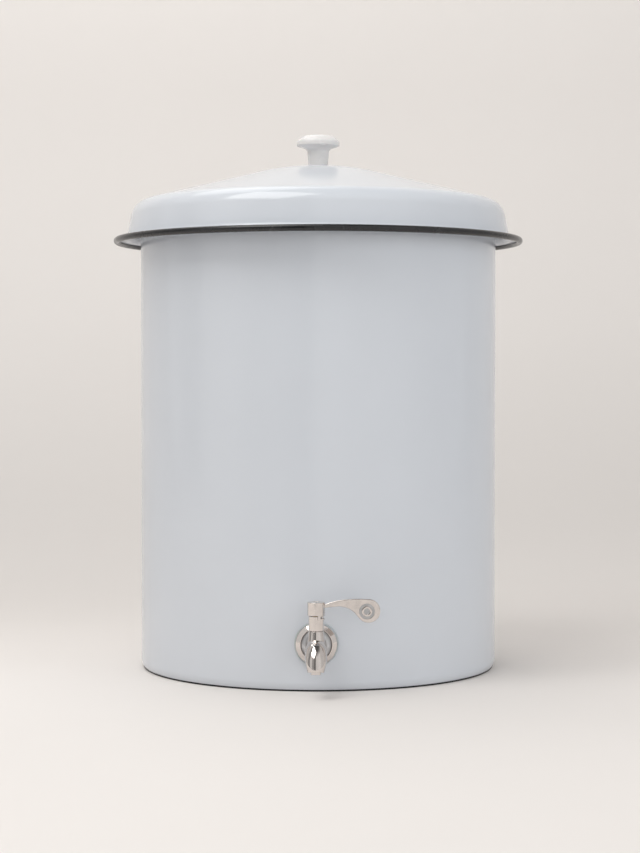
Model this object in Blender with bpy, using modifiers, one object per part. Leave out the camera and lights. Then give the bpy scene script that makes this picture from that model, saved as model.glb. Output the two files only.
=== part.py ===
"""Countertop water-filter dispenser: an enamelled steel vessel with a lift-off lid, a clay filter pot
that hangs in a plastic ring in the vessel's mouth, and a quarter-turn metal tap low on the front.

Metres, +Z up. The origin is on the vessel's axis at the underside of its base. The tap faces -Y and
its lever points to +X when the tap is shut.
"""

import math

import bmesh
import bpy
from mathutils import Matrix, Vector

MM = 0.001
GAP = 0.3 * MM  # kept between two pieces that touch

# Vessel
WALL_R = 165 * MM
SHEET = 1.2 * MM  # enamelled steel sheet
VESSEL_TOP = 414 * MM
MOUTH_BEAD_R = 2.4 * MM
FOOT_CURVE_R = 12 * MM
BASE_R = 163 * MM
BASE_THICK = 1.2 * MM
GROOVE_INNER_R = 138 * MM
GROOVE_OUTER_R = 150 * MM
GROOVE_RISE = 2 * MM

# Filter ring and pot
RING_R = 172 * MM
RING_TOP = 418.2 * MM
RING_LIP_THICK = 1.8 * MM
RING_LIP_DROP = 9.5 * MM
RING_COLLAR_R = 160 * MM
RING_COLLAR_THICK = 2.5 * MM
RING_LEDGE_R = 139 * MM
RING_LEDGE_Z = 400 * MM
RING_LEDGE_THICK = 3 * MM
POT_LIP_R = 150 * MM
POT_LIP_THICK = 15 * MM
POT_NECK_R = 136 * MM
POT_FOOT_R = 118 * MM
POT_FLOOR_Z = 193 * MM
POT_WALL = 13 * MM
POT_EDGE_R = 3 * MM
POT_CORNER_R = 14 * MM

# Lid
LID_TOP = 465 * MM
LID_HOLE_R = 3 * MM
CROWN = [(24 * MM, 465 * MM), (41 * MM, 462.4 * MM), (60 * MM, 457.9 * MM)]
CONE_FOOT = (160 * MM, 432.4 * MM)
SHOULDER_R = 18 * MM
SKIRT_TOP = (173.6 * MM, 418.5 * MM)
SKIRT_FOOT = (177 * MM, 401.8 * MM)
FLARE_R = 5 * MM
FLANGE_Z = 396.2 * MM
FLANGE_R = 184 * MM
RIM_R = 190 * MM
RIM_WIDE = 5.9 * MM
RIM_HIGH = 5.9 * MM
RIM_Z = 394.6 * MM

# Knob and its hardware
KNOB_BASE = LID_TOP + GAP
KNOB_PROFILE = [  # radius and height above the knob's base, from the crown down to the foot
    (8.0, 28.1), (13.0, 27.2), (16.6, 25.5), (18.9, 23.2), (19.9, 20.8), (19.7, 19.0),
    (17.9, 17.3), (14.4, 16.0), (11.4, 14.8), (10.2, 12.6), (9.5, 6.0), (9.1, 0.0),
]
KNOB_TOP = 28.4 * MM
INSERT_R = 3.8 * MM
INSERT_BORE = 2.6 * MM
INSERT_LONG = 10 * MM
KNOB_SCREW_R = 2.3 * MM
KNOB_SCREW_HEAD_R = 4.4 * MM
KNOB_SCREW_HEAD = 3 * MM
KNOB_WASHER_R = 6.5 * MM
KNOB_WASHER = 1.2 * MM

# Tap: distances along its shank are measured forwards from the vessel's outer face
TAP_Z = 41.3 * MM
SHANK_R = 8 * MM
SHANK_BORE = 4.2 * MM
SHANK_END = -22 * MM
WALL_HOLE_R = 8.5 * MM
SEAL_R = 19 * MM
SEAL_FRONT = 2.5 * MM
ROSETTE_R = 18 * MM
ROSETTE_STEP_R = 13.2 * MM
ROSETTE_FRONT = 6.2 * MM
BODY_R = 8.5 * MM
COLLAR_R = 10.6 * MM
STEM_OUT = 25 * MM  # valve axis in front of the vessel
SOCKET_R = 6.45 * MM
SOCKET_TOP = 55.7 * MM
SOCKET_FOOT_R = 8.0 * MM
SOCKET_FOOT = 42.3 * MM
CHAMBER_R = 5.1 * MM
CHAMBER_FLOOR = 35.7 * MM
SPOUT_END_Z = 24.2 * MM
SPOUT_PATH = [  # distance forwards, height, radius of the metal
    (25.0, 41.5, 7.60), (31.4, 38.3, 8.80), (35.0, 35.9, 8.90), (38.2, 32.9, 8.75),
    (40.5, 29.8, 8.20), (41.8, 26.9, 7.50), (42.3, 24.2, 6.80),
]
SPOUT_WALL = 2.2 * MM

# Bonnet, plug and seals
BONNET_R = 6.45 * MM
BONNET_TOP = 68.5 * MM
BONNET_THREAD_R = 4.8 * MM
BONNET_FOOT = 48.7 * MM
STEM_BORE = 3.5 * MM
PLUG_R = 4.8 * MM
PLUG_TOP = 48.4 * MM
PORT_R = 2.3 * MM
STEM_R = 3.1 * MM
STEM_SHOULDER = 68.8 * MM
STEM_TOP = 75.8 * MM
STEM_SQUARE = 4.2 * MM
O_RING_Z = {"lower_o_ring": 37.4 * MM, "upper_o_ring": 45.8 * MM}
O_RING_R = 0.6 * MM
GROOVE_R = 3.4 * MM
STOP_PIN_R = 0.7 * MM
STOP_PIN_Z = 67.5 * MM
STOP_PIN_AZIMUTH = math.radians(-45)

# Lever
HUB_R = 7.4 * MM
HUB_FOOT = 69.1 * MM
HUB_TOP = 80.2 * MM
SKIRT_INNER_R = 6.75 * MM
SKIRT_DROP = 3.8 * MM
SLOT_LOW = 66.5 * MM
SLOT_HIGH = 68.5 * MM
SLOT_SIDE = 3.8 * MM  # how far to the lever's side of the axis the slot begins
SKIRT_HALF_ANGLE = math.radians(78)
LEVER_THICK = 3.4 * MM
PADDLE = (44.1 * MM, 72.8 * MM)  # centre of the round end, out from the stem axis and up
PADDLE_R = 10 * MM
DISH = (42.8 * MM, 72.4 * MM)  # centre of the round dish in the paddle's face
DISH_R = 6.4 * MM
DISH_DEEP = 0.9 * MM
ARM_TOP = [(4.5, 78.3), (12.0, 80.2), (21.0, 82.2), (32.0, 83.0)]
ARM_UNDER = [(35.2, 67.9), (30.6, 72.7), (24.5, 75.7), (16.5, 76.3), (4.5, 74.9)]
LEVER_SCREW_R = 1.5 * MM
LEVER_SCREW_HEAD_R = 2.9 * MM

# Clamping parts inside the vessel
CLAMP_R = 14 * MM
CLAMP_HOLE_R = 8.4 * MM
NUT_ACROSS_FLATS = 24 * MM
NUT_THICK = 6.2 * MM

FINE = 64  # steps round the large turned pieces
MEDIUM = 32
SMALL = 24


def clear_scene():
    for obj in list(bpy.data.objects):
        bpy.data.objects.remove(obj, do_unlink=True)


def collection(name):
    made = bpy.data.collections.new(name)
    bpy.context.scene.collection.children.link(made)
    return made


def material(name, colour, roughness, metallic=0.0):
    made = bpy.data.materials.new(name)
    made.use_nodes = True
    shader = made.node_tree.nodes["Principled BSDF"]
    shader.inputs["Base Color"].default_value = (*colour, 1.0)
    shader.inputs["Roughness"].default_value = roughness
    shader.inputs["Metallic"].default_value = metallic
    return made


def arc(centre, radius, start, end, steps):
    """Points on a circle from start to end, in degrees."""
    points = []
    for i in range(steps + 1):
        angle = math.radians(start + (end - start) * i / steps)
        points.append((centre[0] + radius * math.cos(angle), centre[1] + radius * math.sin(angle)))
    return points


def fillet(before, corner, after, radius, steps):
    """An arc of that radius that rounds a corner of a profile."""
    corner = Vector(corner)
    to_before = (Vector(before) - corner).normalized()
    to_after = (Vector(after) - corner).normalized()
    half = to_before.angle(to_after) / 2
    centre = corner + (to_before + to_after).normalized() * (radius / math.sin(half))
    first = corner + to_before * (radius / math.tan(half)) - centre
    last = corner + to_after * (radius / math.tan(half)) - centre
    turn = first.angle_signed(last)
    return [tuple(centre + Matrix.Rotation(-turn * i / steps, 2) @ first) for i in range(steps + 1)]


def line_meet(a, b, c, d):
    """Where the line through a and b meets the line through c and d."""
    a, b, c, d = Vector(a), Vector(b), Vector(c), Vector(d)
    along, other = b - a, d - c
    share = (c - a).cross(other) / along.cross(other)
    return tuple(a + along * share)


def add_object(name, mesh, where, finish=None):
    obj = bpy.data.objects.new(name, mesh)
    where.objects.link(obj)
    if finish:
        mesh.materials.append(finish)
    else:
        obj.hide_render = True
        obj.display_type = "WIRE"
    return obj


def turned(name, profile, steps, where, finish=None, closed=True):
    """A solid of revolution about Z. The profile runs down its outer side; an open one ends on the axis."""
    count = len(profile)
    edges = [(i, i + 1) for i in range(count - 1)] + ([(count - 1, 0)] if closed else [])
    mesh = bpy.data.meshes.new(name)
    mesh.from_pydata([(r, 0, z) for r, z in profile], edges, [])
    obj = add_object(name, mesh, where, finish)
    screw = obj.modifiers.new("Turn", "SCREW")
    screw.steps = screw.render_steps = steps
    screw.use_merge_vertices = True
    screw.merge_threshold = 0.00001
    screw.use_smooth_shade = True
    return obj


def tube_profile(inner, outer, low, high):
    return [(inner, high), (outer, high), (outer, low), (inner, low)]


def primitive(name, where, finish, matrix, make, **sizes):
    """A cylinder, box or sphere from bmesh, placed by a matrix."""
    shape = bmesh.new()
    make(shape, matrix=matrix, **sizes)
    mesh = bpy.data.meshes.new(name)
    shape.to_mesh(mesh)
    shape.free()
    return add_object(name, mesh, where, finish)


def cylinder(name, where, radius, start, end, steps=SMALL, finish=None):
    """A cylinder between two points."""
    start, end = Vector(start), Vector(end)
    along = end - start
    matrix = Matrix.Translation((start + end) / 2) @ along.to_track_quat("Z", "Y").to_matrix().to_4x4()
    return primitive(name, where, finish, matrix, bmesh.ops.create_cone, cap_ends=True,
                     segments=steps, radius1=radius, radius2=radius, depth=along.length)


def box(name, where, low, high):
    low, high = Vector(low), Vector(high)
    matrix = Matrix.Translation((low + high) / 2) @ Matrix.Diagonal((*(high - low), 1))
    return primitive(name, where, None, matrix, bmesh.ops.create_cube, size=1.0)


def boolean(obj, other, operation="DIFFERENCE"):
    made = obj.modifiers.new(f"{operation.title()} {other.name}", "BOOLEAN")
    made.operation = operation
    made.object = other
    made.solver = "EXACT"


def swept(name, where, points, radii, sides):
    """A closed tube of changing radius along a poly line, as a mesh."""
    curve = bpy.data.curves.new(name, "CURVE")
    curve.dimensions = "3D"
    curve.bevel_depth = 1.0
    curve.bevel_resolution = (sides - 4) // 2
    curve.use_fill_caps = True
    spline = curve.splines.new("POLY")
    spline.points.add(len(points) - 1)
    for point, place, radius in zip(spline.points, points, radii):
        point.co = (*place, 1)
        point.radius = radius
    guide = bpy.data.objects.new(name + "_guide", curve)
    where.objects.link(guide)
    return as_mesh(name, guide, where)


def as_mesh(name, curve_object, where):
    """Turns a curve object into a closed mesh helper and removes the curve."""
    graph = bpy.context.evaluated_depsgraph_get()
    mesh = bpy.data.meshes.new_from_object(curve_object.evaluated_get(graph))
    shape = bmesh.new()
    shape.from_mesh(mesh)
    bmesh.ops.remove_doubles(shape, verts=shape.verts, dist=0.000001)
    bmesh.ops.recalc_face_normals(shape, faces=shape.faces)
    shape.to_mesh(mesh)
    shape.free()
    bpy.data.objects.remove(curve_object)
    return add_object(name, mesh, where)


def facing_front(obj):
    """Stands a piece that was turned about Z on the tap's shank axis, with its +Z pointing forwards."""
    obj.location = (0, -WALL_R, TAP_Z)
    obj.rotation_euler = (math.radians(90), 0, 0)
    return obj


def on_stem(obj, stem):
    """Hangs a piece on the empty that marks the valve's axis."""
    obj.parent = stem
    obj.matrix_parent_inverse = stem.matrix_world.inverted()
    return obj


def stem_point(out, height, side=0.0):
    """A point given by its distance out from the vessel's face, its height and its distance to the side."""
    return (side, -WALL_R - out, height)


def vessel(parts, cutters, looks):
    bead = (WALL_R - SHEET + MOUTH_BEAD_R, VESSEL_TOP - MOUTH_BEAD_R)
    meets = -math.degrees(math.acos((WALL_R - bead[0]) / MOUTH_BEAD_R))
    wall_foot = BASE_THICK + GAP
    foot_angle = math.degrees(math.acos((BASE_R - GAP / 2 - WALL_R + FOOT_CURVE_R) / FOOT_CURVE_R))
    centre = (WALL_R - FOOT_CURVE_R, wall_foot + FOOT_CURVE_R * math.sin(math.radians(foot_angle)))
    inner_foot = math.degrees(math.asin((centre[1] - wall_foot) / (FOOT_CURVE_R - SHEET)))
    profile = arc(bead, MOUTH_BEAD_R, 90, meets, 7)
    profile += arc(centre, FOOT_CURVE_R, 0, -foot_angle, 3)
    profile += arc(centre, FOOT_CURVE_R - SHEET, -inner_foot, 0, 3)
    profile += [(WALL_R - SHEET, bead[1])]
    profile += arc(bead, MOUTH_BEAD_R, 150, 120, 1)
    wall = turned("vessel_wall", profile, FINE, parts, looks["enamel"])
    hole = cylinder("cut_wall_hole", cutters, WALL_HOLE_R, stem_point(-6 * MM, TAP_Z),
                    stem_point(4 * MM, TAP_Z))
    boolean(wall, hole)

    inner, outer, rise = GROOVE_INNER_R, GROOVE_OUTER_R, GROOVE_RISE
    slope = rise * 1.2
    top = [(0, BASE_THICK), (inner, BASE_THICK), (inner + slope, BASE_THICK + rise),
           (outer - slope, BASE_THICK + rise), (outer, BASE_THICK), (BASE_R, BASE_THICK)]
    under = [(r, z - BASE_THICK) for r, z in reversed(top)]
    turned("vessel_base", top + under, FINE, parts, looks["dark_enamel"], closed=False)


def filter_unit(parts, looks):
    seat = VESSEL_TOP + GAP
    profile = [
        (RING_COLLAR_R - RING_COLLAR_THICK, RING_TOP), (RING_R - 1 * MM, RING_TOP),
        (RING_R, RING_TOP - 1 * MM), (RING_R, RING_TOP - RING_LIP_DROP),
        (RING_R - RING_LIP_THICK, RING_TOP - RING_LIP_DROP), (RING_R - RING_LIP_THICK, seat),
        (RING_COLLAR_R, seat), (RING_COLLAR_R, RING_LEDGE_Z), (RING_LEDGE_R, RING_LEDGE_Z),
        (RING_LEDGE_R, RING_LEDGE_Z + RING_LEDGE_THICK),
        (RING_COLLAR_R - RING_COLLAR_THICK, RING_LEDGE_Z + RING_LEDGE_THICK),
    ]
    turned("filter_ring", profile, FINE, parts, looks["white_plastic"])

    lip_under = RING_LEDGE_Z + RING_LEDGE_THICK + GAP
    lip_top = lip_under + POT_LIP_THICK
    edge = POT_EDGE_R
    outer_corner = (POT_FOOT_R, POT_FLOOR_Z)
    inner_top = (POT_NECK_R - POT_WALL, lip_top)
    inner_corner = (POT_FOOT_R - POT_WALL, POT_FLOOR_Z + POT_WALL)
    profile = [(0, POT_FLOOR_Z + POT_WALL)]
    profile += fillet((0, inner_corner[1]), inner_corner, inner_top, POT_CORNER_R - POT_WALL / 2, 3)
    profile += fillet(inner_corner, inner_top, (POT_LIP_R, lip_top), edge, 2)
    profile += fillet(inner_top, (POT_LIP_R, lip_top), (POT_LIP_R, lip_under), edge, 2)
    profile += [(POT_LIP_R, lip_under + edge), (POT_LIP_R - edge, lip_under), (POT_NECK_R, lip_under)]
    profile += fillet((POT_NECK_R, lip_under), outer_corner, (0, POT_FLOOR_Z), POT_CORNER_R, 3)
    profile += [(0, POT_FLOOR_Z)]
    turned("filter_pot", profile, MEDIUM * 3 // 2, parts, looks["clay"], closed=False)


def lid(parts, looks):
    corner = line_meet(CROWN[-1], CONE_FOOT, SKIRT_TOP, SKIRT_FOOT)
    skirt_end = line_meet(SKIRT_TOP, SKIRT_FOOT, (0, FLANGE_Z), (1, FLANGE_Z))
    outside = [(LID_HOLE_R, LID_TOP)] + CROWN
    outside += fillet(CROWN[-1], corner, SKIRT_FOOT, SHOULDER_R, 6)
    outside += fillet(corner, skirt_end, (FLANGE_R, FLANGE_Z), FLARE_R, 3)
    outside += [(FLANGE_R, FLANGE_Z)]
    shell = turned("lid_shell", outside, FINE, parts, looks["enamel"], closed=False)
    solidify = shell.modifiers.new("Sheet", "SOLIDIFY")
    solidify.thickness = SHEET
    solidify.offset = -1
    solidify.use_even_offset = True

    centre_r = RIM_R - RIM_WIDE / 2
    section = [(centre_r + RIM_WIDE / 2 * math.sin(a), RIM_Z + RIM_HIGH / 2 * math.cos(a))
               for a in (2 * math.pi * i / 10 for i in range(10))]
    turned("lid_rim_bead", section, FINE, parts, looks["dark_enamel"])


def knob(parts, cutters, looks):
    profile = [(0, KNOB_BASE + KNOB_TOP)]
    profile += [(r * MM, KNOB_BASE + z * MM) for r, z in KNOB_PROFILE]
    profile += [(0, KNOB_BASE)]
    grip = turned("lid_knob", profile, MEDIUM, parts, looks["white_glaze"], closed=False)
    pocket = cylinder("cut_knob_pocket", cutters, INSERT_R + GAP, (0, 0, KNOB_BASE - 2 * MM),
                      (0, 0, KNOB_BASE + INSERT_LONG + 2 * GAP))
    boolean(grip, pocket)
    foot = KNOB_BASE + GAP
    turned("knob_insert", tube_profile(INSERT_BORE, INSERT_R, foot, foot + INSERT_LONG), SMALL, parts,
           looks["brass"])

    washer_top = LID_TOP - SHEET - GAP
    head_top = washer_top - KNOB_WASHER - GAP
    turned("knob_washer", tube_profile(LID_HOLE_R, KNOB_WASHER_R, washer_top - KNOB_WASHER, washer_top),
           SMALL, parts, looks["steel"])
    tip = foot + INSERT_LONG - 1 * MM
    screw = [(0, tip), (KNOB_SCREW_R - 0.5 * MM, tip), (KNOB_SCREW_R, tip - 0.8 * MM),
             (KNOB_SCREW_R, head_top), (KNOB_SCREW_HEAD_R, head_top),
             (KNOB_SCREW_HEAD_R, head_top - KNOB_SCREW_HEAD * 0.4),
             (KNOB_SCREW_HEAD_R * 0.6, head_top - KNOB_SCREW_HEAD), (0, head_top - KNOB_SCREW_HEAD)]
    bolt = turned("knob_screw", screw, SMALL, parts, looks["steel"], closed=False)
    slot = box("cut_knob_screw_slot", cutters, (-6 * MM, -0.6 * MM, head_top - KNOB_SCREW_HEAD - 2 * MM),
               (6 * MM, 0.6 * MM, head_top - KNOB_SCREW_HEAD + 1.2 * MM))
    boolean(bolt, slot)


def tap_mounting(parts, cutters, looks):
    """The seals, rosette, washer and nut that clamp the tap to the wall."""
    seal = turned("outer_seal", tube_profile(CLAMP_HOLE_R, SEAL_R, -3 * MM, SEAL_FRONT), MEDIUM, parts,
                  looks["silicone"])
    facing_front(seal)
    outside = cylinder("cut_seal_outer", cutters, WALL_R + GAP, (0, 0, 0), (0, 0, 90 * MM), steps=128)
    boolean(seal, outside)

    back = SEAL_FRONT + GAP
    face = back + 2.2 * MM
    rosette = [(ROSETTE_STEP_R, face), (ROSETTE_STEP_R + 0.5 * MM, ROSETTE_FRONT),
               (ROSETTE_STEP_R + 1.3 * MM, ROSETTE_FRONT), (ROSETTE_R - 0.8 * MM, ROSETTE_FRONT - 1.1 * MM),
               (ROSETTE_R, ROSETTE_FRONT - 2.0 * MM), (ROSETTE_R, back), (CLAMP_HOLE_R, back),
               (CLAMP_HOLE_R, face)]
    facing_front(turned("tap_rosette", rosette, MEDIUM, parts, looks["polished"]))

    inside = -SHEET - GAP
    seal_back = inside - 2.6 * MM
    inner = turned("inner_seal", tube_profile(CLAMP_HOLE_R, CLAMP_R, seal_back, inside + 1 * MM), MEDIUM,
                   parts, looks["silicone"])
    facing_front(inner)
    keep = cylinder("keep_inside_wall", cutters, WALL_R - SHEET - GAP, (0, 0, 0), (0, 0, 90 * MM), steps=128)
    boolean(inner, keep, "INTERSECT")
    washer_back = seal_back - GAP - 1.2 * MM
    facing_front(turned("inner_washer", tube_profile(CLAMP_HOLE_R, CLAMP_R, washer_back, seal_back - GAP),
                        MEDIUM, parts, looks["steel"]))

    nut_front = washer_back - GAP
    nut = primitive("lock_nut", parts, looks["steel"],
                    Matrix.Translation((0, 0, nut_front - NUT_THICK / 2)), bmesh.ops.create_cone,
                    cap_ends=True, segments=6, radius1=NUT_ACROSS_FLATS / math.sqrt(3),
                    radius2=NUT_ACROSS_FLATS / math.sqrt(3), depth=NUT_THICK)
    facing_front(nut)
    bore = cylinder("cut_nut_bore", cutters, CLAMP_HOLE_R, stem_point(nut_front + 2 * MM, TAP_Z),
                    stem_point(nut_front - NUT_THICK - 2 * MM, TAP_Z))
    boolean(nut, bore)


def tap_body(parts, cutters, looks):
    """The casting: threaded shank, neck, valve chamber and spout, with the water's way through them."""
    seat = SEAL_FRONT + 3 * GAP + 2.2 * MM
    profile = [(0, STEM_OUT), (BODY_R, STEM_OUT), (BODY_R, seat + 2.6 * MM), (COLLAR_R, seat + 2 * MM),
               (COLLAR_R, seat), (SHANK_R, seat), (SHANK_R, SHANK_END), (0, SHANK_END)]
    body = turned("tap_body", profile, SMALL, parts, looks["polished"], closed=False)
    facing_front(body)

    centre = Matrix.Translation(stem_point(STEM_OUT, TAP_Z + 0.3 * MM))
    ball = primitive("join_ball", cutters, None, centre, bmesh.ops.create_uvsphere, u_segments=SMALL,
                     v_segments=16, radius=BODY_R + 0.1 * MM)
    socket = turned("join_socket", [(0, SOCKET_TOP), (SOCKET_R, SOCKET_TOP), (SOCKET_FOOT_R, SOCKET_FOOT),
                                    (0, SOCKET_FOOT)], SMALL, cutters, closed=False)
    socket.location = stem_point(STEM_OUT, 0)
    path = [stem_point(out * MM, height * MM) for out, height, _ in SPOUT_PATH]
    spout = swept("join_spout", cutters, path, [r * MM for _, _, r in SPOUT_PATH], 16)
    for piece in (ball, socket, spout):
        boolean(body, piece, "UNION")

    chamber = cylinder("cut_chamber", cutters, CHAMBER_R, stem_point(STEM_OUT, CHAMBER_FLOOR),
                       stem_point(STEM_OUT, SOCKET_TOP + 3 * MM))
    shank_bore = cylinder("cut_shank_bore", cutters, SHANK_BORE, stem_point(SHANK_END - 3 * MM, TAP_Z),
                          stem_point(STEM_OUT, TAP_Z), steps=16)
    path[0] = stem_point(STEM_OUT + 0.5 * MM, TAP_Z - 0.6 * MM)
    path.append(stem_point(SPOUT_PATH[-1][0] * MM, SPOUT_END_Z - 3 * MM))
    bores = [min(SHANK_BORE, r * MM - SPOUT_WALL) for _, _, r in SPOUT_PATH]
    bores.append(bores[-1])
    spout_bore = swept("cut_spout_bore", cutters, path, bores, 12)
    for piece in (chamber, shank_bore, spout_bore):
        boolean(body, piece)


def valve(parts, cutters, looks, stem):
    """The bonnet on the body, and the plug and its seals that turn with the lever."""
    foot = SOCKET_TOP + GAP
    profile = [(STEM_BORE, BONNET_TOP), (BONNET_R - 0.4 * MM, BONNET_TOP), (BONNET_R, BONNET_TOP - 0.4 * MM),
               (BONNET_R, foot), (BONNET_THREAD_R, foot), (BONNET_THREAD_R, BONNET_FOOT),
               (STEM_BORE, BONNET_FOOT)]
    bonnet = turned("tap_bonnet", profile, SMALL, parts, looks["polished"])
    bonnet.location = stem_point(STEM_OUT, 0)
    out = Vector((math.cos(STOP_PIN_AZIMUTH), math.sin(STOP_PIN_AZIMUTH), 0))
    axis = Vector(stem_point(STEM_OUT, STOP_PIN_Z))
    pin_hole = cylinder("cut_pin_hole", cutters, STOP_PIN_R + GAP, axis + out * 4.3 * MM,
                        axis + out * 8 * MM, steps=12)
    boolean(bonnet, pin_hole)
    cylinder("stop_pin", parts, STOP_PIN_R, axis + out * 4.6 * MM, axis + out * 7 * MM, steps=12,
             finish=looks["steel"])

    low = CHAMBER_FLOOR + GAP
    profile = [(0, STEM_SHOULDER), (STEM_R, STEM_SHOULDER), (STEM_R, PLUG_TOP), (PLUG_R, PLUG_TOP)]
    half = O_RING_R + GAP
    for height in sorted(O_RING_Z.values(), reverse=True):
        profile += [(PLUG_R, height + half), (GROOVE_R, height + half), (GROOVE_R, height - half),
                    (PLUG_R, height - half)]
    profile += [(PLUG_R, low), (0, low)]
    plug = on_stem(turned("valve_plug", profile, SMALL, parts, looks["brass"], closed=False), stem)
    plug.location = stem_point(STEM_OUT, 0)
    half = STEM_SQUARE / 2
    square = box("join_stem_square", cutters, stem_point(STEM_OUT + half, STEM_SHOULDER - 1 * MM, -half),
                 stem_point(STEM_OUT - half, STEM_TOP, half))
    boolean(plug, square, "UNION")
    port = cylinder("cut_port", cutters, PORT_R, stem_point(STEM_OUT, TAP_Z, -9 * MM),
                    stem_point(STEM_OUT, TAP_Z, 9 * MM), steps=16)
    tapping = cylinder("cut_stem_thread", cutters, LEVER_SCREW_R + GAP,
                       stem_point(STEM_OUT, STEM_TOP - 7 * MM), stem_point(STEM_OUT, STEM_TOP + 2 * MM), steps=12)
    boolean(plug, port)
    boolean(plug, tapping)
    for name, height in O_RING_Z.items():
        section = arc((GROOVE_R + GAP + O_RING_R, height), O_RING_R, 90, -210, 5)
        ring = on_stem(turned(name, section, SMALL, parts, looks["silicone"]), stem)
        ring.location = stem_point(STEM_OUT, 0)


def lever(parts, cutters, looks, stem):
    """The handle: a hub over the stem, a slotted skirt that the stop pin runs in, an arm and a paddle."""
    counterbore = LEVER_SCREW_HEAD_R + GAP
    web_top = HUB_TOP - 2.2 * MM
    web_low = STEM_TOP + GAP
    profile = [
        (counterbore, HUB_TOP), (HUB_R - 0.5 * MM, HUB_TOP), (HUB_R, HUB_TOP - 0.5 * MM),
        (HUB_R, HUB_FOOT - SKIRT_DROP), (SKIRT_INNER_R, HUB_FOOT - SKIRT_DROP), (SKIRT_INNER_R, HUB_FOOT),
        (LEVER_SCREW_R + GAP, HUB_FOOT), (LEVER_SCREW_R + GAP, web_top), (counterbore, web_top),
    ]
    handle = on_stem(turned("lever", profile, MEDIUM, parts, looks["polished"]), stem)
    handle.location = stem_point(STEM_OUT, 0)

    half = STEM_SQUARE / 2 + GAP
    square = box("cut_lever_socket", cutters, stem_point(STEM_OUT + half, HUB_FOOT - 2 * MM, -half),
                 stem_point(STEM_OUT - half, web_low, half))
    skirt_edge = HUB_R * math.cos(SKIRT_HALF_ANGLE)
    open_side = box("cut_skirt_side", cutters,
                    stem_point(STEM_OUT + 12 * MM, HUB_FOOT - SKIRT_DROP - 2 * MM, -12 * MM),
                    stem_point(STEM_OUT - 12 * MM, HUB_FOOT, skirt_edge))
    slot = turned("cut_slot", tube_profile(HUB_R - 1.2 * MM, HUB_R + 1 * MM, SLOT_LOW, SLOT_HIGH), MEDIUM,
                  cutters)
    slot.location = stem_point(STEM_OUT, 0)
    beyond = box("limit_slot", cutters, stem_point(STEM_OUT + 12 * MM, SLOT_LOW - 2 * MM, -12 * MM),
                 stem_point(STEM_OUT - 12 * MM, SLOT_HIGH + 2 * MM, SLOT_SIDE))
    boolean(slot, beyond)

    outline = [(x * MM, z * MM) for x, z in ARM_TOP]
    outline += arc(PADDLE, PADDLE_R, 90, -150, 8)
    outline += [(x * MM, z * MM) for x, z in ARM_UNDER]
    curve = bpy.data.curves.new("arm", "CURVE")
    curve.dimensions = "2D"
    curve.fill_mode = "BOTH"
    curve.extrude = LEVER_THICK / 2
    spline = curve.splines.new("POLY")
    spline.points.add(len(outline) - 1)
    for point, place in zip(spline.points, outline):
        point.co = (*place, 0, 1)
    spline.use_cyclic_u = True
    guide = bpy.data.objects.new("arm_guide", curve)
    cutters.objects.link(guide)
    arm = as_mesh("join_arm", guide, cutters)
    arm.location = stem_point(STEM_OUT, 0)
    arm.rotation_euler = (math.radians(90), 0, 0)
    front = STEM_OUT + LEVER_THICK / 2
    dish = cylinder("cut_dish", cutters, DISH_R, stem_point(front - DISH_DEEP, DISH[1], DISH[0]),
                    stem_point(front + 3 * MM, DISH[1], DISH[0]))
    boss = cylinder("keep_screw_hole", cutters, counterbore, stem_point(STEM_OUT, web_top),
                    stem_point(STEM_OUT, HUB_TOP + 6 * MM))
    boolean(handle, open_side)
    boolean(handle, slot)
    boolean(handle, arm, "UNION")
    for piece in (square, dish, boss):
        boolean(handle, piece)

    head_low = web_top + GAP
    head_top = head_low + 1.5 * MM
    tip = head_low - 7 * MM
    screw = [(0, head_top), (LEVER_SCREW_HEAD_R - 0.4 * MM, head_top),
             (LEVER_SCREW_HEAD_R, head_top - 0.4 * MM), (LEVER_SCREW_HEAD_R, head_low),
             (LEVER_SCREW_R, head_low), (LEVER_SCREW_R, tip), (0, tip)]
    bolt = on_stem(turned("lever_screw", screw, SMALL, parts, looks["steel"], closed=False), stem)
    bolt.location = stem_point(STEM_OUT, 0)
    driver = cylinder("cut_hex", cutters, 1.2 * MM, stem_point(STEM_OUT, head_top - 1 * MM),
                      stem_point(STEM_OUT, head_top + 2 * MM), steps=6)
    boolean(bolt, driver)


def main():
    clear_scene()
    parts = collection("water_filter_dispenser")
    cutters = collection("cutters")
    looks = {
        "enamel": material("enamel", (0.60, 0.64, 0.68), 0.12),
        "dark_enamel": material("dark_enamel", (0.03, 0.03, 0.035), 0.2),
        "white_glaze": material("white_glaze", (0.80, 0.80, 0.79), 0.18),
        "white_plastic": material("white_plastic", (0.85, 0.85, 0.83), 0.4),
        "clay": material("clay", (0.60, 0.27, 0.15), 0.9),
        "polished": material("polished", (0.72, 0.69, 0.67), 0.1, 1.0),
        "steel": material("steel", (0.60, 0.60, 0.60), 0.3, 1.0),
        "brass": material("brass", (0.78, 0.60, 0.30), 0.3, 1.0),
        "silicone": material("silicone", (0.55, 0.56, 0.57), 0.6),
    }
    stem = bpy.data.objects.new("stem_axis", None)
    parts.objects.link(stem)
    stem.location = stem_point(STEM_OUT, BONNET_TOP)
    bpy.context.view_layer.update()
    vessel(parts, cutters, looks)
    filter_unit(parts, looks)
    lid(parts, looks)
    knob(parts, cutters, looks)
    tap_mounting(parts, cutters, looks)
    tap_body(parts, cutters, looks)
    valve(parts, cutters, looks, stem)
    lever(parts, cutters, looks, stem)


main()
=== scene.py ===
"""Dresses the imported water-filter dispenser: smooth turned and cast pieces over its frame, their
finishes, and a pale paper sweep with soft light."""

import math

import bmesh
import bpy
from bpy.props import FloatProperty, FloatVectorProperty, IntProperty, PointerProperty
from mathutils import Matrix, Vector
from mathutils.geometry import interpolate_bezier


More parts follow.
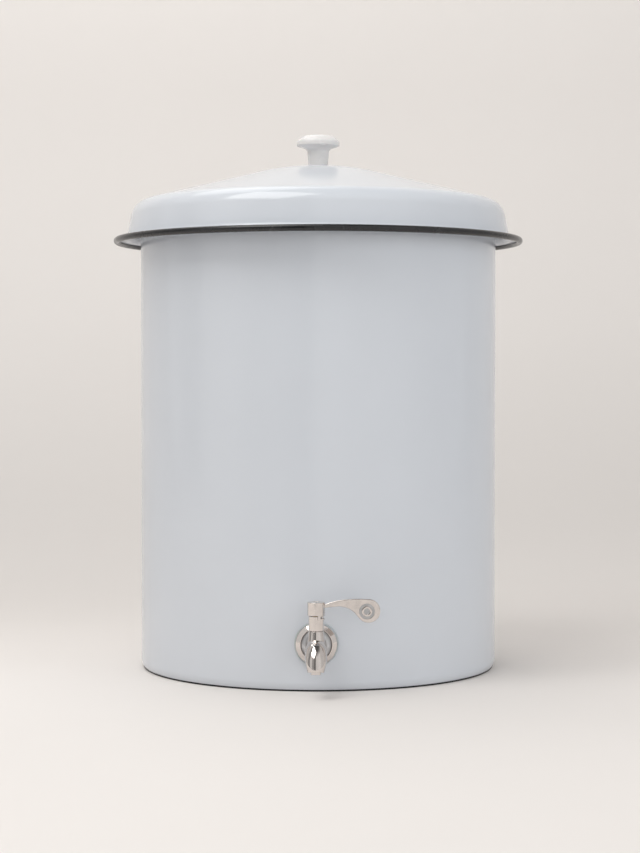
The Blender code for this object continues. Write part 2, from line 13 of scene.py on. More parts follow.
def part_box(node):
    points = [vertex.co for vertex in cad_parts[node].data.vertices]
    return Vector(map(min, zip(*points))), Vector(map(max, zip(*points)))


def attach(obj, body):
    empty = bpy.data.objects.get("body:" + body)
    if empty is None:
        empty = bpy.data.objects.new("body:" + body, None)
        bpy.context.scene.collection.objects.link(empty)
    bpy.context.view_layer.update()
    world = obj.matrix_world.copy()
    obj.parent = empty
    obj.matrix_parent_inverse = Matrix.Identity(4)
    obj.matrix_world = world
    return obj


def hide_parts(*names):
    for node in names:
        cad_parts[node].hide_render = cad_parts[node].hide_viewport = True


bl_info = {
    "name": "Water Filter Dispenser",
    "version": (1, 0, 0),
    "blender": (4, 5, 0),
    "location": "3D View > Sidebar > Dispenser",
    "description": "Builds an enamelled water-filter dispenser and its stage",
    "category": "Object",
}

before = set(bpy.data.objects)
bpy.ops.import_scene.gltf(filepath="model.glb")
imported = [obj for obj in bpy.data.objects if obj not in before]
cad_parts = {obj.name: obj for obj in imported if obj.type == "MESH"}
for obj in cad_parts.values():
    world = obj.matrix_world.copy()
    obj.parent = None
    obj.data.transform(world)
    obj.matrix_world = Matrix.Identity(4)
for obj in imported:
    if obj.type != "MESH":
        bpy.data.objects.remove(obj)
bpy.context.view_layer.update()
MM = 0.001


def box_of(node):
    low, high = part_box(node)
    return Vector(low), Vector(high)


VESSEL_LOW, VESSEL_HIGH = box_of("vessel_wall")
BASE_LOW, BASE_HIGH = box_of("vessel_base")
RING_LOW, RING_HIGH = box_of("filter_ring")
POT_LOW, POT_HIGH = box_of("filter_pot")
LID_LOW, LID_HIGH = box_of("lid_shell")
BEAD_LOW, BEAD_HIGH = box_of("lid_rim_bead")
KNOB_LOW, KNOB_HIGH = box_of("lid_knob")
ROSETTE_LOW, ROSETTE_HIGH = box_of("tap_rosette")
SEAL_LOW, SEAL_HIGH = box_of("outer_seal")
BODY_LOW, BODY_HIGH = box_of("tap_body")
BONNET_LOW, BONNET_HIGH = box_of("tap_bonnet")
LEVER_LOW_SKIRT = BONNET_HIGH.z - 3.2 * MM
TAP_Z = (ROSETTE_LOW.z + ROSETTE_HIGH.z) / 2
STEM_Y = (BONNET_LOW.y + BONNET_HIGH.y) / 2


# Sizes and colours that a user may change


def length(name, description, default, **limits):
    return FloatProperty(name=name, description=description, default=default, unit="LENGTH",
                         subtype="DISTANCE", precision=4, min=0.0, **limits)


def colour(name, description, default):
    return FloatVectorProperty(name=name, description=description, default=default, subtype="COLOR",
                               min=0.0, max=1.0)


class DispenserSizes(bpy.types.PropertyGroup):
    """Sizes of the turned and cast pieces."""

    wall_radius: length("Wall radius", "Outer radius of the vessel", 0.165)
    sheet: length("Sheet", "Thickness of the enamelled steel", 0.0012)
    foot_curve: length("Foot curve", "Radius that the wall turns in by at its foot", 0.012)
    shoulder: length("Lid shoulder", "Radius of the bend between the lid's cone and skirt", 0.018)
    crown: length("Lid crown", "Radius of the bend between the lid's top and cone", 0.221)
    flare: length("Lid flare", "Radius of the bend between the lid's skirt and flange", 0.005)
    pot_wall: length("Pot wall", "Thickness of the clay", 0.013)
    lever_edge: length("Lever edge", "Rounding of the lever's edges", 0.0008)
    around: IntProperty(name="Steps around", description="Steps round each large turned piece",
                        default=192, min=24, max=512)


class DispenserColours(bpy.types.PropertyGroup):
    """Base colours of the finishes."""

    enamel: colour("Enamel", "Pale enamel of the vessel and lid", (0.625, 0.655, 0.70))
    dark: colour("Dark enamel", "Edge of the lid and the base", (0.010, 0.010, 0.011))
    knob: colour("Knob", "Moulded knob", (0.74, 0.725, 0.715))
    plated: colour("Plating", "Polished tap", (0.74, 0.69, 0.66))
    steel: colour("Steel", "Turned steel hardware", (0.55, 0.55, 0.56))
    brass: colour("Brass", "Turned brass", (0.72, 0.52, 0.24))
    silicone: colour("Silicone", "Seals", (0.50, 0.52, 0.53))
    plastic: colour("Plastic", "Filter ring", (0.82, 0.82, 0.80))
    clay: colour("Clay", "Filter pot", (0.55, 0.23, 0.12))
    paper: colour("Paper", "Sweep behind the dispenser", (0.80, 0.77, 0.75))


# Shapes


def arc(centre, radius, start, end, steps):
    """Points on a circle from start to end, in degrees."""
    points = []
    for i in range(steps + 1):
        angle = math.radians(start + (end - start) * i / steps)
        points.append((centre[0] + radius * math.cos(angle), centre[1] + radius * math.sin(angle)))
    return points


def rounded(corners, closed=True, steps=6):
    """An outline through (x, y, radius) corners, each rounded by an arc of its own radius."""
    outline = []
    count = len(corners)
    for i, (x, y, radius) in enumerate(corners):
        at_end = not closed and i in (0, count - 1)
        if at_end or radius == 0:
            outline.append((x, y))
            continue
        corner = Vector((x, y))
        before = (Vector(corners[i - 1][:2]) - corner).normalized()
        after = (Vector(corners[(i + 1) % count][:2]) - corner).normalized()
        half = before.angle(after) / 2
        centre = corner + (before + after).normalized() * (radius / math.sin(half))
        first = corner + before * (radius / math.tan(half)) - centre
        turn = first.angle_signed(corner + after * (radius / math.tan(half)) - centre)
        for step in range(steps + 1):
            outline.append(tuple(centre + Matrix.Rotation(-turn * step / steps, 2) @ first))
    return outline


def meet(point, slope, radius_at, height_slope):
    """Where a line z = z0 + slope (r - r0) meets the line r = r1 + height_slope (z - z1)."""
    (r0, z0), (r1, z1) = point, radius_at
    r = (r1 + height_slope * (z0 - slope * r0 - z1)) / (1 - height_slope * slope)
    return r, z0 + slope * (r - r0)


def finish_mesh(name, shape, sharp=35):
    """A smooth-shaded object made from a bmesh."""
    bmesh.ops.remove_doubles(shape, verts=shape.verts, dist=1e-6)
    bmesh.ops.recalc_face_normals(shape, faces=shape.faces)
    mesh = bpy.data.meshes.new(name)
    shape.to_mesh(mesh)
    shape.free()
    for face in mesh.polygons:
        face.use_smooth = True
    mesh.set_sharp_from_angle(angle=math.radians(sharp))
    obj = bpy.data.objects.new(name, mesh)
    bpy.context.scene.collection.objects.link(obj)
    return obj


def spun(outline, steps, closed=True):
    """A bmesh turned about Z from an outline in radius and height."""
    shape = bmesh.new()
    verts = [shape.verts.new((r, 0, z)) for r, z in outline]
    edges = [shape.edges.new(pair) for pair in zip(verts, verts[1:])]
    if closed:
        edges.append(shape.edges.new((verts[-1], verts[0])))
    bmesh.ops.spin(shape, geom=verts + edges, axis=(0, 0, 1), cent=(0, 0, 0), angle=2 * math.pi,
                   steps=steps, use_merge=True)
    bmesh.ops.remove_doubles(shape, verts=shape.verts, dist=1e-6)
    return shape


def turned(name, outline, steps, closed=True, sharp=35, where=None):
    """A turned piece. where is a matrix that takes it from the Z axis to its place."""
    shape = spun(outline, steps, closed)
    if where:
        bmesh.ops.transform(shape, matrix=where, verts=shape.verts)
    return finish_mesh(name, shape, sharp)


def rod(name, radius, start, end, steps=32):
    """A plain cylinder between two points, for a cutter."""
    start, end = Vector(start), Vector(end)
    along = end - start
    shape = bmesh.new()
    matrix = Matrix.Translation((start + end) / 2) @ along.to_track_quat("Z", "Y").to_matrix().to_4x4()
    bmesh.ops.create_cone(shape, cap_ends=True, segments=steps, radius1=radius, radius2=radius,
                          depth=along.length, matrix=matrix)
    return finish_mesh(name, shape)


def block(name, low, high):
    """A plain box between two corners, for a cutter."""
    low, high = Vector(low), Vector(high)
    shape = bmesh.new()
    matrix = Matrix.Translation((low + high) / 2) @ Matrix.Diagonal((*(high - low), 1))
    bmesh.ops.create_cube(shape, size=1, matrix=matrix)
    return finish_mesh(name, shape)


def settle(obj, sharp=35):
    """Makes the object's modifiers part of its mesh."""
    graph = bpy.context.evaluated_depsgraph_get()
    mesh = bpy.data.meshes.new_from_object(obj.evaluated_get(graph))
    obj.modifiers.clear()
    obj.data = mesh
    for face in mesh.polygons:
        face.use_smooth = True
    mesh.set_sharp_from_angle(angle=math.radians(sharp))
    return obj


def combine(obj, others, operation="DIFFERENCE", sharp=35):
    """Cuts others from obj, or joins them to it, and removes them."""
    for other in others:
        made = obj.modifiers.new(other.name, "BOOLEAN")
        made.operation = operation
        made.object = other
        made.solver = "EXACT"
    settle(obj, sharp)
    for other in others:
        bpy.data.objects.remove(other)
    return obj


def place(obj, body, finish, slot, *nodes):
    """Gives a piece its finish and its body, and hides the CAD nodes that it stands for. The slot is not
    used.
    """
    even = obj.modifiers.new("Even shading", "WEIGHTED_NORMAL")
    even.keep_sharp = True
    obj.data.materials.clear()
    obj.data.materials.append(finish)
    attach(obj, body)
    if nodes:
        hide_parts(*nodes)
    return obj


ON_SHANK = Matrix.Translation((0, 0, TAP_Z)) @ Matrix.Rotation(math.radians(90), 4, "X")
ON_STEM = Matrix.Translation((0, STEM_Y, 0))


# Finishes


def node_group(name, inputs, outputs):
    """A new shader group with typed inputs and outputs, and its two end nodes."""
    group = bpy.data.node_groups.new(name, "ShaderNodeTree")
    for label, kind, default in inputs:
        made = group.interface.new_socket(name=label, in_out="INPUT", socket_type=kind)
        if default is not None:
            made.default_value = default
    for label, kind in outputs:
        group.interface.new_socket(name=label, in_out="OUTPUT", socket_type=kind)
    return group, group.nodes.new("NodeGroupInput"), group.nodes.new("NodeGroupOutput")


def ripple_group():
    """Two sizes of soft waviness, as fired enamel or polished metal shows in its reflections."""
    if "Surface ripple" in bpy.data.node_groups:
        return bpy.data.node_groups["Surface ripple"]
    group, given, result = node_group(
        "Surface ripple",
        [("Vector", "NodeSocketVector", None), ("Broad scale", "NodeSocketFloat", 20.0),
         ("Fine scale", "NodeSocketFloat", 400.0), ("Fine share", "NodeSocketFloat", 0.2),
         ("Strength", "NodeSocketFloat", 0.1), ("Depth", "NodeSocketFloat", 0.001)],
        [("Normal", "NodeSocketVector")])
    add, link = group.nodes.new, group.links.new
    broad, fine = add("ShaderNodeTexNoise"), add("ShaderNodeTexNoise")
    broad.inputs["Detail"].default_value = 1.0
    fine.inputs["Detail"].default_value = 2.0
    blend, bump = add("ShaderNodeMix"), add("ShaderNodeBump")
    for texture, label in ((broad, "Broad scale"), (fine, "Fine scale")):
        link(given.outputs["Vector"], texture.inputs["Vector"])
        link(given.outputs[label], texture.inputs["Scale"])
    link(given.outputs["Fine share"], blend.inputs["Factor"])
    link(broad.outputs["Fac"], blend.inputs["A"])
    link(fine.outputs["Fac"], blend.inputs["B"])
    link(blend.outputs["Result"], bump.inputs["Height"])
    link(given.outputs["Strength"], bump.inputs["Strength"])
    link(given.outputs["Depth"], bump.inputs["Distance"])
    link(bump.outputs["Normal"], result.inputs["Normal"])
    return group


def drift_group():
    """Slow changes of tone and gloss over a surface."""
    if "Tone drift" in bpy.data.node_groups:
        return bpy.data.node_groups["Tone drift"]
    group, given, result = node_group(
        "Tone drift",
        [("Vector", "NodeSocketVector", None), ("Scale", "NodeSocketFloat", 10.0),
         ("Light", "NodeSocketColor", (1, 1, 1, 1)), ("Deep", "NodeSocketColor", (0.9, 0.9, 0.9, 1)),
         ("Smooth", "NodeSocketFloat", 0.1), ("Rough", "NodeSocketFloat", 0.2)],
        [("Color", "NodeSocketColor"), ("Roughness", "NodeSocketFloat"), ("Mask", "NodeSocketFloat")])
    add, link = group.nodes.new, group.links.new
    noise, ramp = add("ShaderNodeTexNoise"), add("ShaderNodeMapRange")
    noise.inputs["Detail"].default_value = 5.0
    noise.inputs["Roughness"].default_value = 0.55
    ramp.inputs["From Min"].default_value = 0.3
    ramp.inputs["From Max"].default_value = 0.7
    tone, gloss = add("ShaderNodeMix"), add("ShaderNodeMix")
    tone.data_type = "RGBA"
    link(given.outputs["Vector"], noise.inputs["Vector"])
    link(given.outputs["Scale"], noise.inputs["Scale"])
    link(noise.outputs["Fac"], ramp.inputs["Value"])
    link(ramp.outputs["Result"], tone.inputs["Factor"])
    link(ramp.outputs["Result"], gloss.inputs["Factor"])
    link(given.outputs["Light"], tone.inputs[6])
    link(given.outputs["Deep"], tone.inputs[7])
    link(given.outputs["Smooth"], gloss.inputs["A"])
    link(given.outputs["Rough"], gloss.inputs["B"])
    link(tone.outputs[2], result.inputs["Color"])
    link(gloss.outputs["Result"], result.inputs["Roughness"])
    link(ramp.outputs["Result"], result.inputs["Mask"])
    return group


def lathe_group():
    """Fine rings about the vector's Z axis, as a lathe tool leaves them."""
    if "Lathe marks" in bpy.data.node_groups:
        return bpy.data.node_groups["Lathe marks"]
    group, given, result = node_group(
        "Lathe marks",
        [("Vector", "NodeSocketVector", None), ("Scale", "NodeSocketFloat", 900.0),
         ("Strength", "NodeSocketFloat", 0.2)],
        [("Mask", "NodeSocketFloat"), ("Normal", "NodeSocketVector")])
    add, link = group.nodes.new, group.links.new
    wave, bump = add("ShaderNodeTexWave"), add("ShaderNodeBump")
    wave.wave_type = "RINGS"
    wave.rings_direction = "Z"
    wave.inputs["Distortion"].default_value = 1.5
    wave.inputs["Detail"].default_value = 2.0
    bump.inputs["Distance"].default_value = 0.0001
    link(given.outputs["Vector"], wave.inputs["Vector"])
    link(given.outputs["Scale"], wave.inputs["Scale"])
    link(wave.outputs["Fac"], bump.inputs["Height"])
    link(given.outputs["Strength"], bump.inputs["Strength"])
    link(wave.outputs["Fac"], result.inputs["Mask"])
    link(bump.outputs["Normal"], result.inputs["Normal"])
    return group


class Finish:
    """A material under construction: its shader, its centred coordinates and its groups."""

    def __init__(self, name, centre=(0, 0, 0), turn=(0, 0, 0), **fixed):
        self.material = bpy.data.materials.new(name)
        self.material.use_nodes = True
        self.nodes = self.material.node_tree.nodes
        self.link = self.material.node_tree.links.new
        self.shader = self.nodes["Principled BSDF"]
        for label, value in fixed.items():
            self.shader.inputs[label.replace("_", " ").title().replace("Ior", "IOR")].default_value = value
        coordinates = self.nodes.new("ShaderNodeTexCoord")
        mapping = self.nodes.new("ShaderNodeMapping")
        mapping.vector_type = "TEXTURE"
        mapping.inputs["Location"].default_value = centre
        mapping.inputs["Rotation"].default_value = turn
        self.link(coordinates.outputs["Object"], mapping.inputs["Vector"])
        self.vector = mapping.outputs["Vector"]

    def group(self, tree, **values):
        made = self.nodes.new("ShaderNodeGroup")
        made.node_tree = tree
        self.link(self.vector, made.inputs["Vector"])
        for label, value in values.items():
            made.inputs[label.replace("_", " ").capitalize()].default_value = value
        return made

    def drift(self, light, deep, smooth, rough, scale):
        made = self.group(drift_group(), scale=scale, light=(*light, 1), deep=(*deep, 1), smooth=smooth,
                          rough=rough)
        self.link(made.outputs["Color"], self.shader.inputs["Base Color"])
        self.link(made.outputs["Roughness"], self.shader.inputs["Roughness"])
        return made

    def ripple(self, broad_scale, fine_scale, fine_share, strength, depth):
        made = self.group(ripple_group(), broad_scale=broad_scale, fine_scale=fine_scale,
                          fine_share=fine_share, strength=strength, depth=depth)
        self.link(made.outputs["Normal"], self.shader.inputs["Normal"])
        return made


def shade(base, factor):
    return tuple(channel * factor for channel in base)


def set_stops(ramp, stops, tint):
    """Gives a colour ramp its stops, each a place along it and a tone that the tint colours."""
    while len(ramp.elements) < len(stops):
        ramp.elements.new(0.5)
    for element, (along, tone) in zip(ramp.elements, stops):
        element.position = along
        element.color = (*shade(tint, tone), 1)


def enamel_finish(colours):
    made = Finish("Pale enamel", ior=1.5)
    made.drift(colours.enamel, shade(colours.enamel, 0.975), 0.09, 0.13, 9)
    made.ripple(26, 320, 0.12, 0.12, 0.0006)
    return made.material


def dark_enamel_finish(colours):
    made = Finish("Dark enamel", ior=1.5)
    made.drift(colours.dark, shade(colours.dark, 1.9), 0.14, 0.3, 60)
    made.ripple(60, 700, 0.2, 0.1, 0.0003)
    return made.material


def knob_finish(colours):
    made = Finish("Moulded knob", centre=(0, 0, KNOB_LOW.z), ior=1.49, subsurface_weight=0.02)
    made.drift(colours.knob, shade(colours.knob, 0.97), 0.2, 0.3, 70)
    made.ripple(150, 1500, 0.25, 0.1, 0.0003)
    return made.material


def plated_finish(colours):
    made = Finish("Polished plating", centre=(0, STEM_Y, TAP_Z), metallic=1.0)
    made.drift(colours.plated, shade(colours.plated, 0.93), 0.07, 0.15, 160)
    made.ripple(220, 2600, 0.1, 0.05, 0.0002)
    return made.material


def satin_finish(colours):
    """Blasted metal in the recesses, a little uneven in tone."""
    made = Finish("Satin steel", centre=(0, STEM_Y, TAP_Z), metallic=1.0)
    made.drift(shade(colours.steel, 1.15), shade(colours.steel, 0.95), 0.34, 0.5, 240)
    made.ripple(500, 5200, 0.7, 0.35, 0.0001)
    return made.material


def lathe_finish(name, base, centre, turn, roughness):
    """Turned metal whose rings run about its own axis."""
    made = Finish(name, centre=centre, turn=turn, metallic=1.0)
    made.drift(base, shade(base, 0.85), roughness, roughness + 0.12, 130)
    rings = made.group(lathe_group(), scale=700, strength=0.25)
    made.link(rings.outputs["Normal"], made.shader.inputs["Normal"])
    return made.material


def silicone_finish(colours):
    made = Finish("Silicone", centre=(0, STEM_Y, TAP_Z), ior=1.41, subsurface_weight=0.1)
    made.drift(colours.silicone, shade(colours.silicone, 0.9), 0.45, 0.62, 110)
    made.ripple(300, 2400, 0.5, 0.2, 0.0002)
    return made.material


def plastic_finish(colours):
    made = Finish("Satin plastic", centre=(0, 0, RING_LOW.z), ior=1.46)
    made.drift(colours.plastic, shade(colours.plastic, 0.96), 0.34, 0.46, 24)
    made.ripple(60, 1600, 0.6, 0.15, 0.0003)
    return made.material


def clay_finish(colours):
    """Unglazed clay with darker grit, pale bloom and an open grain."""
    made = Finish("Unglazed clay", centre=(0, 0, POT_LOW.z))
    drift = made.drift(colours.clay, shade(colours.clay, 0.72), 0.82, 0.95, 16)
    grit = made.nodes.new("ShaderNodeTexVoronoi")
    grit.inputs["Scale"].default_value = 420
    made.link(made.vector, grit.inputs["Vector"])
    spots = made.nodes.new("ShaderNodeMapRange")
    spots.inputs["From Min"].default_value = 0.12
    spots.inputs["From Max"].default_value = 0.3
    spots.inputs["To Min"].default_value = 0.55
    spots.inputs["To Max"].default_value = 0.0
    made.link(grit.outputs["Distance"], spots.inputs["Value"])
    speck = made.nodes.new("ShaderNodeMix")
    speck.data_type = "RGBA"
    speck.inputs[7].default_value = (*shade(colours.clay, 0.42), 1)
    made.link(spots.outputs["Result"], speck.inputs["Factor"])
    made.link(drift.outputs["Color"], speck.inputs[6])
    made.link(speck.outputs[2], made.shader.inputs["Base Color"])
    made.ripple(140, 1500, 0.55, 0.5, 0.0008)
    return made.material


def one_sided(made):
    """Lets the finish show only from the side that its faces point to."""
    sides, clear = made.nodes.new("ShaderNodeNewGeometry"), made.nodes.new("ShaderNodeBsdfTransparent")
    either = made.nodes.new("ShaderNodeMixShader")
    made.link(sides.outputs["Backfacing"], either.inputs["Fac"])
    made.link(made.shader.outputs["BSDF"], either.inputs[1])
    made.link(clear.outputs["BSDF"], either.inputs[2])
    made.link(either.outputs["Shader"], made.nodes["Material Output"].inputs["Surface"])
    return made.material


def plain_paper(name, colours):
    """A paper finish, and the node that gives its drifting tone."""
    made = Finish(name)
    return made, made.drift(colours.paper, shade(colours.paper, 0.985), 0.8, 0.9, 2.2)


def far_paper_finish(colours):
    return one_sided(plain_paper("Far paper", colours)[0])


# Painted shade on the sweep: a ramp over depth plus rise darkens the paper where it bends up.
SWEEP_SPAN = (-0.2, 1.9)  # depth plus rise, from the floor in front to the top of the wall, in metres
SWEEP_RISE = 0.9  # how far a metre of rise counts against a metre of depth
SWEEP_SHADE_TINT = (1.0, 0.995, 0.985)
SWEEP_PAINTED_SHADE = [  # share of the span, then the tone of the painted shade
    (0.0, 1.0), (0.14, 1.0), (0.25, 0.93), (0.45, 0.77), (0.58, 0.78), (0.75, 0.86), (1.0, 0.97),
]


def paper_finish(colours):
    """Pale paper with painted shade that makes it deeper in tone where it bends up."""
    made, drift = plain_paper("Sweep paper with painted shade", colours)
    made.ripple(6, 300, 0.2, 0.05, 0.0005)
    place_at, up = made.nodes.new("ShaderNodeSeparateXYZ"), made.nodes.new("ShaderNodeMath")
    up.operation = "MULTIPLY_ADD"
    up.inputs[1].default_value = SWEEP_RISE
    span, tone = made.nodes.new("ShaderNodeMapRange"), made.nodes.new("ShaderNodeValToRGB")
    span.inputs["From Min"].default_value, span.inputs["From Max"].default_value = SWEEP_SPAN
    tone.color_ramp.interpolation = "B_SPLINE"
    set_stops(tone.color_ramp, SWEEP_PAINTED_SHADE, SWEEP_SHADE_TINT)
    # Painted shade: the ramp multiplies the paper's drifting tone.
    painted_shade = made.nodes.new("ShaderNodeMix")
    painted_shade.data_type = "RGBA"
    painted_shade.blend_type = "MULTIPLY"
    painted_shade.inputs["Factor"].default_value = 1.0
    made.link(made.vector, place_at.inputs["Vector"])
    made.link(place_at.outputs["Z"], up.inputs[0])
    made.link(place_at.outputs["Y"], up.inputs[2])
    made.link(up.outputs["Value"], span.inputs["Value"])
    made.link(span.outputs["Result"], tone.inputs["Fac"])
    made.link(drift.outputs["Color"], painted_shade.inputs[6])
    made.link(tone.outputs["Color"], painted_shade.inputs[7])
    made.link(painted_shade.outputs[2], made.shader.inputs["Base Color"])
    return one_sided(made)


def finish(name):
    """The named finish, made the first time that a piece asks for it."""
    if name in bpy.data.materials:
        return bpy.data.materials[name]
    colours = bpy.context.scene.dispenser_colours
    upright, across = (0, 0, 0), (math.radians(90), 0, 0)
    knob, shank, stem = (0, 0, 0), (0, VESSEL_LOW.y, TAP_Z), (0, STEM_Y, TAP_Z)
    turned_metals = {
        "Steel on the shank": (colours.steel, shank, across, 0.26),
        "Steel on the stem": (colours.steel, stem, upright, 0.22),
        "Steel on the knob": (colours.steel, knob, upright, 0.26),
        "Brass on the stem": (colours.brass, stem, upright, 0.24),
        "Brass on the knob": (colours.brass, knob, upright, 0.3),
    }
    if name in turned_metals:
        return lathe_finish(name, *turned_metals[name])
    makers = {
        "Pale enamel": lambda: enamel_finish(colours),
        "Dark enamel": lambda: dark_enamel_finish(colours),
        "Moulded knob": lambda: knob_finish(colours),
        "Polished plating": lambda: plated_finish(colours),
        "Satin steel": lambda: satin_finish(colours),
        "Silicone": lambda: silicone_finish(colours),
        "Satin plastic": lambda: plastic_finish(colours),
        "Unglazed clay": lambda: clay_finish(colours),
        "Sweep paper with painted shade": lambda: paper_finish(colours),
        "Far paper": lambda: far_paper_finish(colours),
    }
    return makers[name]()


# Pieces


class DISPENSER_OT_vessel(bpy.types.Operator):
    """Makes the enamelled wall with its rolled mouth, and the base disc"""

    bl_idname = "dispenser.vessel"
    bl_label = "Vessel"

    def execute(self, context):
        sizes = context.scene.dispenser_sizes
        wall, sheet, turn = sizes.wall_radius, sizes.sheet, sizes.foot_curve
        roll = (VESSEL_HIGH.x - wall + sheet) / 2
        bead = (wall - sheet + roll, VESSEL_HIGH.z - roll)
        meets = -math.degrees(math.acos((wall - bead[0]) / roll))
        inset = math.acos((BASE_HIGH.x - 0.15 * MM - wall + turn) / turn)
        centre = (wall - turn, VESSEL_LOW.z + turn * math.sin(inset))
        inner = -math.degrees(math.asin((centre[1] - VESSEL_LOW.z) / (turn - sheet)))
        outline = arc(bead, roll, 90, meets, 18)
        outline += arc(centre, turn, 0, -math.degrees(inset), 8)
        outline += arc(centre, turn - sheet, inner, 0, 8)
        outline += [(wall - sheet, bead[1])]
        outline += arc(bead, roll, 150, 120, 3)
        shell = turned("enamel_wall", outline, sizes.around, sharp=50)
        hole = rod("wall_hole", 8.5 * MM, (0, -wall + 6 * MM, TAP_Z), (0, -wall - 6 * MM, TAP_Z), 48)
        combine(shell, [hole], sharp=50)
        place(shell, "vessel", finish("Pale enamel"), "enamel", "vessel_wall")

        thick, rise = 1.2 * MM, BASE_HIGH.z - 1.2 * MM
        groove = [(0.138, 0), (0.138 + 1.2 * rise, rise), (0.150 - 1.2 * rise, rise), (0.150, 0)]
        top = [(r, z + thick, 1 * MM) for r, z in groove]
        under = [(r, z, 1 * MM) for r, z in reversed(groove)]
        rim = BASE_HIGH.x
        corners = [(0, thick, 0)] + top + [(rim, thick, 0.5 * MM), (rim, 0, 0.5 * MM)] + under + [(0, 0, 0)]
        disc = turned("enamel_base", rounded(corners, closed=False, steps=3), sizes.around, closed=False)
        place(disc, "vessel", finish("Dark enamel"), "dark_enamel", "vessel_base")
        return {"FINISHED"}


class DISPENSER_OT_filter(bpy.types.Operator):
    """Makes the plastic ring in the vessel's mouth and the clay pot that hangs in it"""

    bl_idname = "dispenser.filter"
    bl_label = "Filter ring and pot"

    def execute(self, context):
        sizes = context.scene.dispenser_sizes
        top, ledge = RING_HIGH.z, RING_LOW.z
        seat = VESSEL_HIGH.z + 0.3 * MM
        lip = RING_HIGH.x
        foot = top - 9.5 * MM
        corners = [
            (0.1575, top, 0.8 * MM), (lip, top, 1.2 * MM), (lip, foot, 0.5 * MM),
            (lip - 1.8 * MM, foot, 0.4 * MM), (lip - 1.8 * MM, seat, 0.6 * MM), (0.160, seat, 1 * MM),
            (0.160, ledge, 1 * MM), (0.139, ledge, 0.8 * MM), (0.139, ledge + 3 * MM, 0.8 * MM),
            (0.1575, ledge + 3 * MM, 1.2 * MM),
        ]
        ring = turned("moulded_ring", rounded(corners, steps=4), sizes.around, sharp=50)
        place(ring, "filter_ring", finish("Satin plastic"), "white_plastic", "filter_ring")

        clay = sizes.pot_wall
        high, low, out = POT_HIGH.z, POT_LOW.z, POT_HIGH.x
        under = high - 15 * MM
        neck, heel = 0.136, 0.118
        corners = [
            (0, low + clay, 0), (heel - clay, low + clay, 7.5 * MM), (neck - clay, high, 3.5 * MM),
            (out, high, 3.5 * MM), (out, under, 3 * MM), (neck, under, 2 * MM), (heel, low, 14 * MM),
            (0, low, 0),
        ]
        pot = turned("clay_pot", rounded(corners, closed=False), sizes.around, closed=False, sharp=50)
        place(pot, "filter_pot", finish("Unglazed clay"), "clay", "filter_pot")
        return {"FINISHED"}


class DISPENSER_OT_lid(bpy.types.Operator):
    """Makes the pressed lid and the dark roll round its edge"""

    bl_idname = "dispenser.lid"
    bl_label = "Lid"

    def execute(self, context):
        sizes = context.scene.dispenser_sizes
        top, flange = LID_HIGH.z, LID_LOW.z + sizes.sheet
        cone = -25.5 / 100
        skirt = -3.4 / 16.7  # the radius lost for each step up the skirt
        crown = (60 * MM, top - 7.1 * MM)
        crown_r = crown[0] - (top - crown[1]) / -cone
        foot = (177 * MM, 401.8 * MM)
        shoulder = meet(crown, cone, foot, skirt)
        skirt_r = foot[0] + skirt * (flange - foot[1])
        corners = [
            (3 * MM, top, 0), (crown_r, top, sizes.crown), (*shoulder, sizes.shoulder),
            (skirt_r, flange, sizes.flare), (LID_HIGH.x, flange, 0),
        ]
        shell = turned("enamel_lid", rounded(corners, closed=False, steps=14), sizes.around, closed=False,
                       sharp=60)
        sheet = shell.modifiers.new("Sheet", "SOLIDIFY")
        sheet.thickness = sizes.sheet
        sheet.offset = -1
        sheet.use_even_offset = True
        settle(shell, sharp=60)
        place(shell, "lid", finish("Pale enamel"), "enamel", "lid_shell")

        half = (BEAD_HIGH.z - BEAD_LOW.z) / 2
        middle = (BEAD_HIGH.x - 2.95 * MM, BEAD_LOW.z + half)
        roll = [(middle[0] + (r - middle[0]) * 2.95 * MM / half, z)
                for r, z in arc(middle, half, 90, -258, 29)]
        bead = turned("rolled_rim", roll, sizes.around, sharp=60)
        place(bead, "lid", finish("Dark enamel"), "dark_enamel", "lid_rim_bead")
        return {"FINISHED"}


class DISPENSER_OT_knob(bpy.types.Operator):
    """Makes the moulded mushroom knob"""

    bl_idname = "dispenser.knob"
    bl_label = "Knob"

    def execute(self, context):
        base, tall = KNOB_LOW.z, KNOB_HIGH.z - KNOB_LOW.z
        wide = KNOB_HIGH.x
        corners = [
            (0, base + tall, 0), (15.0 * MM, base + tall - 0.5 * MM, 9 * MM),
            (wide, base + 22.6 * MM, 3.2 * MM), (wide, base + 18.6 * MM, 1.2 * MM),
            (12.6 * MM, base + 16.4 * MM, 2 * MM), (10.2 * MM, base + 14.2 * MM, 3 * MM),
            (9.1 * MM, base, 0), (0, base, 0),
        ]
        knob = turned("mushroom_knob", rounded(corners, closed=False, steps=10), 96, closed=False, sharp=60)
        pocket = rod("knob_pocket", 4.1 * MM, (0, 0, base - 2 * MM), (0, 0, base + 10.6 * MM))
        combine(knob, [pocket], sharp=60)
        place(knob, "lid", finish("Moulded knob"), "white_knob", "lid_knob")
        return {"FINISHED"}


def tube(name, stations, sides):
    """A closed tube of changing radius in the plane x = 0. Stations are (y, z, direction, radius)."""
    shape = bmesh.new()
    first = bmesh.ops.create_circle(shape, cap_ends=False, segments=sides, radius=1)["verts"]
    edges = list(shape.edges)
    home = None
    for i, (y, z, direction, radius) in enumerate(stations):
        goal = (Matrix.Translation((0, y, z)) @ Matrix.Rotation(direction, 4, "X")
                @ Matrix.Diagonal((radius, radius, radius, 1)))
        ring = first
        if i:
            grown = bmesh.ops.extrude_edge_only(shape, edges=edges)["geom"]
            ring = [item for item in grown if isinstance(item, bmesh.types.BMVert)]
            edges = [item for item in grown if isinstance(item, bmesh.types.BMEdge)]
            goal = goal @ home.inverted()
        bmesh.ops.transform(shape, matrix=goal, verts=ring)
        home = goal if not i else goal @ home
    bmesh.ops.holes_fill(shape, edges=[edge for edge in shape.edges if edge.is_boundary], sides=0)
    return finish_mesh(name, shape)


